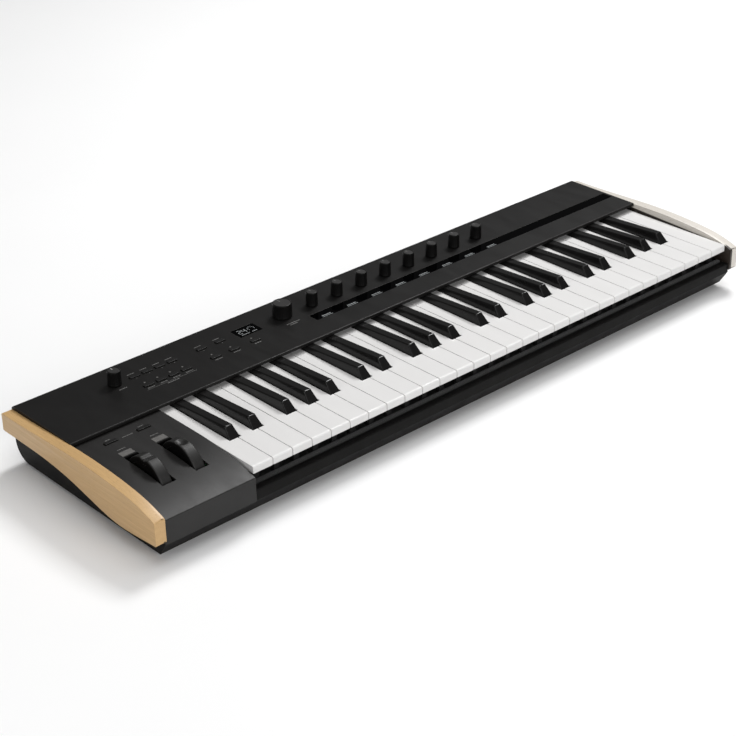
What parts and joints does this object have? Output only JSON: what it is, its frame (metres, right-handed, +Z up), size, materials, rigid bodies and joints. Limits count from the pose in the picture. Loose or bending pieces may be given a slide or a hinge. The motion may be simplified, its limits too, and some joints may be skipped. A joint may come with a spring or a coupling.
{
  "type": "midi keyboard",
  "caption": "Controller keyboard with full-size hinged keys, pitch and modulation wheels, rotary knobs, displays and wooden end cheeks.",
  "frame": {"origin": "middle of the footprint, on the surface that the feet stand on", "axes": "+X from the low keys to the high keys, +Y to the back, +Z up"},
  "size_m": [0.81, 0.242, 0.078],
  "materials": {
    "white_key": "polished white moulded plastic",
    "black_key": "satin black moulded plastic",
    "knob_plastic": "soft black moulded plastic",
    "wheel_plastic": "satin dark grey plastic",
    "button_plastic": "fine satin black plastic",
    "case_plastic": "fine textured black plastic",
    "panel_finish": "fine textured black paint",
    "housing_plastic": "fine textured charcoal plastic",
    "cheek_wood": "pale oiled hardwood",
    "frame_plastic": "black glass filled plastic",
    "steel": "bright zinc plated steel",
    "felt": "black felt",
    "rubber": "black rubber",
    "board": "green solder mask",
    "display_glass": "smoked glossy lens",
    "display_module": "black display glass",
    "light_lens": "milky diffuser plastic",
    "socket_plastic": "black connector plastic"
  },
  "bodies": {
    "case": {"bottom_case": "case_plastic", "front_rail": "case_plastic", "top_panel": "panel_finish", "wheel_housing": "housing_plastic", "left_cheek": "cheek_wood", "right_cheek": "cheek_wood", "key_frame": "frame_plastic", "key_pivot_rod": "steel", "key_felts": "felt", "key_springs": "steel", "contact_domes": "rubber", "circuit_boards": "board", "rotary_encoders": "steel", "display_lenses": "display_glass", "display_modules": "display_module", "light_lenses": "light_lens", "wheel_bracket": "frame_plastic", "rear_sockets": "socket_plastic", "socket_plate": "case_plastic", "rubber_feet": "rubber", "screws": "steel"},
    "keys_c": {"keys_c": "white_key"},
    "keys_c_sharp": {"keys_c_sharp": "black_key"},
    "keys_d": {"keys_d": "white_key"},
    "keys_d_sharp": {"keys_d_sharp": "black_key"},
    "keys_e": {"keys_e": "white_key"},
    "keys_f": {"keys_f": "white_key"},
    "keys_f_sharp": {"keys_f_sharp": "black_key"},
    "keys_g": {"keys_g": "white_key"},
    "keys_g_sharp": {"keys_g_sharp": "black_key"},
    "keys_a": {"keys_a": "white_key"},
    "keys_a_sharp": {"keys_a_sharp": "black_key"},
    "keys_b": {"keys_b": "white_key"},
    "volume_knob": {"volume_knob": "knob_plastic"},
    "value_dial": {"value_dial": "knob_plastic"},
    "parameter_knob_1": {"parameter_knob_1": "knob_plastic"},
    "parameter_knob_2": {"parameter_knob_2": "knob_plastic"},
    "parameter_knob_3": {"parameter_knob_3": "knob_plastic"},
    "parameter_knob_4": {"parameter_knob_4": "knob_plastic"},
    "parameter_knob_5": {"parameter_knob_5": "knob_plastic"},
    "parameter_knob_6": {"parameter_knob_6": "knob_plastic"},
    "parameter_knob_7": {"parameter_knob_7": "knob_plastic"},
    "parameter_knob_8": {"parameter_knob_8": "knob_plastic"},
    "pitch_wheel": {"pitch_wheel": "wheel_plastic"},
    "modulation_wheel": {"modulation_wheel": "wheel_plastic"},
    "upper_button_1": {"upper_button_1": "button_plastic"},
    "upper_button_2": {"upper_button_2": "button_plastic"},
    "upper_button_3": {"upper_button_3": "button_plastic"},
    "upper_button_4": {"upper_button_4": "button_plastic"},
    "upper_button_5": {"upper_button_5": "button_plastic"},
    "upper_button_6": {"upper_button_6": "button_plastic"},
    "lower_button_1": {"lower_button_1": "button_plastic"},
    "lower_button_2": {"lower_button_2": "button_plastic"},
    "lower_button_3": {"lower_button_3": "button_plastic"},
    "lower_button_4": {"lower_button_4": "button_plastic"},
    "lower_button_5": {"lower_button_5": "button_plastic"},
    "lower_button_6": {"lower_button_6": "button_plastic"},
    "lower_button_7": {"lower_button_7": "button_plastic"},
    "octave_down_button": {"octave_down_button": "button_plastic"},
    "octave_up_button": {"octave_up_button": "button_plastic"}
  },
  "joints": [
    {"name": "press_c", "type": "hinge", "parent": "case", "child": "keys_c", "pos_m": [0, 0.088, 0.0375], "axis": [1, 0, 0], "range_deg": [0, 2.8], "stiffness_Nm_per_rad": 3.5, "springref_deg": -9.17},
    {"name": "press_c_sharp", "type": "hinge", "parent": "case", "child": "keys_c_sharp", "pos_m": [0, 0.088, 0.0375], "axis": [1, 0, 0], "range_deg": [0, 2.8], "stiffness_Nm_per_rad": 3.5, "springref_deg": -9.17},
    {"name": "press_d", "type": "hinge", "parent": "case", "child": "keys_d", "pos_m": [0, 0.088, 0.0375], "axis": [1, 0, 0], "range_deg": [0, 2.8], "stiffness_Nm_per_rad": 3.5, "springref_deg": -9.17},
    {"name": "press_d_sharp", "type": "hinge", "parent": "case", "child": "keys_d_sharp", "pos_m": [0, 0.088, 0.0375], "axis": [1, 0, 0], "range_deg": [0, 2.8], "stiffness_Nm_per_rad": 3.5, "springref_deg": -9.17},
    {"name": "press_e", "type": "hinge", "parent": "case", "child": "keys_e", "pos_m": [0, 0.088, 0.0375], "axis": [1, 0, 0], "range_deg": [0, 2.8], "stiffness_Nm_per_rad": 3.5, "springref_deg": -9.17},
    {"name": "press_f", "type": "hinge", "parent": "case", "child": "keys_f", "pos_m": [0, 0.088, 0.0375], "axis": [1, 0, 0], "range_deg": [0, 2.8], "stiffness_Nm_per_rad": 3.5, "springref_deg": -9.17},
    {"name": "press_f_sharp", "type": "hinge", "parent": "case", "child": "keys_f_sharp", "pos_m": [0, 0.088, 0.0375], "axis": [1, 0, 0], "range_deg": [0, 2.8], "stiffness_Nm_per_rad": 3.5, "springref_deg": -9.17},
    {"name": "press_g", "type": "hinge", "parent": "case", "child": "keys_g", "pos_m": [0, 0.088, 0.0375], "axis": [1, 0, 0], "range_deg": [0, 2.8], "stiffness_Nm_per_rad": 3.5, "springref_deg": -9.17},
    {"name": "press_g_sharp", "type": "hinge", "parent": "case", "child": "keys_g_sharp", "pos_m": [0, 0.088, 0.0375], "axis": [1, 0, 0], "range_deg": [0, 2.8], "stiffness_Nm_per_rad": 3.5, "springref_deg": -9.17},
    {"name": "press_a", "type": "hinge", "parent": "case", "child": "keys_a", "pos_m": [0, 0.088, 0.0375], "axis": [1, 0, 0], "range_deg": [0, 2.8], "stiffness_Nm_per_rad": 3.5, "springref_deg": -9.17},
    {"name": "press_a_sharp", "type": "hinge", "parent": "case", "child": "keys_a_sharp", "pos_m": [0, 0.088, 0.0375], "axis": [1, 0, 0], "range_deg": [0, 2.8], "stiffness_Nm_per_rad": 3.5, "springref_deg": -9.17},
    {"name": "press_b", "type": "hinge", "parent": "case", "child": "keys_b", "pos_m": [0, 0.088, 0.0375], "axis": [1, 0, 0], "range_deg": [0, 2.8], "stiffness_Nm_per_rad": 3.5, "springref_deg": -9.17},
    {"name": "turn_volume_knob", "type": "hinge", "parent": "case", "child": "volume_knob", "pos_m": [-0.299, 0.0855, 0.0626], "axis": [0, 0, 1], "range_deg": [-150, 150]},
    {"name": "turn_value_dial", "type": "hinge", "parent": "case", "child": "value_dial", "pos_m": [-0.089, 0.0845, 0.0626], "axis": [0, 0, 1], "continuous": true},
    {"name": "turn_parameter_knob_1", "type": "hinge", "parent": "case", "child": "parameter_knob_1", "pos_m": [-0.05, 0.083, 0.0626], "axis": [0, 0, 1], "continuous": true},
    {"name": "turn_parameter_knob_2", "type": "hinge", "parent": "case", "child": "parameter_knob_2", "pos_m": [-0.01525, 0.083, 0.0626], "axis": [0, 0, 1], "continuous": true},
    {"name": "turn_parameter_knob_3", "type": "hinge", "parent": "case", "child": "parameter_knob_3", "pos_m": [0.0195, 0.083, 0.0626], "axis": [0, 0, 1], "continuous": true},
    {"name": "turn_parameter_knob_4", "type": "hinge", "parent": "case", "child": "parameter_knob_4", "pos_m": [0.05425, 0.083, 0.0626], "axis": [0, 0, 1], "continuous": true},
    {"name": "turn_parameter_knob_5", "type": "hinge", "parent": "case", "child": "parameter_knob_5", "pos_m": [0.089, 0.083, 0.0626], "axis": [0, 0, 1], "continuous": true},
    {"name": "turn_parameter_knob_6", "type": "hinge", "parent": "case", "child": "parameter_knob_6", "pos_m": [0.12375, 0.083, 0.0626], "axis": [0, 0, 1], "continuous": true},
    {"name": "turn_parameter_knob_7", "type": "hinge", "parent": "case", "child": "parameter_knob_7", "pos_m": [0.1585, 0.083, 0.0626], "axis": [0, 0, 1], "continuous": true},
    {"name": "turn_parameter_knob_8", "type": "hinge", "parent": "case", "child": "parameter_knob_8", "pos_m": [0.19325, 0.083, 0.0626], "axis": [0, 0, 1], "continuous": true},
    {"name": "turn_pitch_wheel", "type": "hinge", "parent": "case", "child": "pitch_wheel", "pos_m": [-0.3605, -0.054, 0.039], "axis": [1, 0, 0], "range_deg": [-50, 50], "stiffness_Nm_per_rad": 0.08},
    {"name": "turn_modulation_wheel", "type": "hinge", "parent": "case", "child": "modulation_wheel", "pos_m": [-0.3235, -0.054, 0.039], "axis": [1, 0, 0], "range_deg": [-45, 45]},
    {"name": "push_upper_button_1", "type": "slide", "parent": "case", "child": "upper_button_1", "axis": [0, 0, -1], "range_m": [0, 0.001], "stiffness_N_per_m": 500, "springref_m": -0.001},
    {"name": "push_upper_button_2", "type": "slide", "parent": "case", "child": "upper_button_2", "axis": [0, 0, -1], "range_m": [0, 0.001], "stiffness_N_per_m": 500, "springref_m": -0.001},
    {"name": "push_upper_button_3", "type": "slide", "parent": "case", "child": "upper_button_3", "axis": [0, 0, -1], "range_m": [0, 0.001], "stiffness_N_per_m": 500, "springref_m": -0.001},
    {"name": "push_upper_button_4", "type": "slide", "parent": "case", "child": "upper_button_4", "axis": [0, 0, -1], "range_m": [0, 0.001], "stiffness_N_per_m": 500, "springref_m": -0.001},
    {"name": "push_upper_button_5", "type": "slide", "parent": "case", "child": "upper_button_5", "axis": [0, 0, -1], "range_m": [0, 0.001], "stiffness_N_per_m": 500, "springref_m": -0.001},
    {"name": "push_upper_button_6", "type": "slide", "parent": "case", "child": "upper_button_6", "axis": [0, 0, -1], "range_m": [0, 0.001], "stiffness_N_per_m": 500, "springref_m": -0.001},
    {"name": "push_lower_button_1", "type": "slide", "parent": "case", "child": "lower_button_1", "axis": [0, 0, -1], "range_m": [0, 0.001], "stiffness_N_per_m": 500, "springref_m": -0.001},
    {"name": "push_lower_button_2", "type": "slide", "parent": "case", "child": "lower_button_2", "axis": [0, 0, -1], "range_m": [0, 0.001], "stiffness_N_per_m": 500, "springref_m": -0.001},
    {"name": "push_lower_button_3", "type": "slide", "parent": "case", "child": "lower_button_3", "axis": [0, 0, -1], "range_m": [0, 0.001], "stiffness_N_per_m": 500, "springref_m": -0.001},
    {"name": "push_lower_button_4", "type": "slide", "parent": "case", "child": "lower_button_4", "axis": [0, 0, -1], "range_m": [0, 0.001], "stiffness_N_per_m": 500, "springref_m": -0.001},
    {"name": "push_lower_button_5", "type": "slide", "parent": "case", "child": "lower_button_5", "axis": [0, 0, -1], "range_m": [0, 0.001], "stiffness_N_per_m": 500, "springref_m": -0.001},
    {"name": "push_lower_button_6", "type": "slide", "parent": "case", "child": "lower_button_6", "axis": [0, 0, -1], "range_m": [0, 0.001], "stiffness_N_per_m": 500, "springref_m": -0.001},
    {"name": "push_lower_button_7", "type": "slide", "parent": "case", "child": "lower_button_7", "axis": [0, 0, -1], "range_m": [0, 0.001], "stiffness_N_per_m": 500, "springref_m": -0.001},
    {"name": "push_octave_down_button", "type": "slide", "parent": "case", "child": "octave_down_button", "axis": [0, 0, -1], "range_m": [0, 0.001], "stiffness_N_per_m": 500, "springref_m": -0.001},
    {"name": "push_octave_up_button", "type": "slide", "parent": "case", "child": "octave_up_button", "axis": [0, 0, -1], "range_m": [0, 0.001], "stiffness_N_per_m": 500, "springref_m": -0.001}
  ]
}
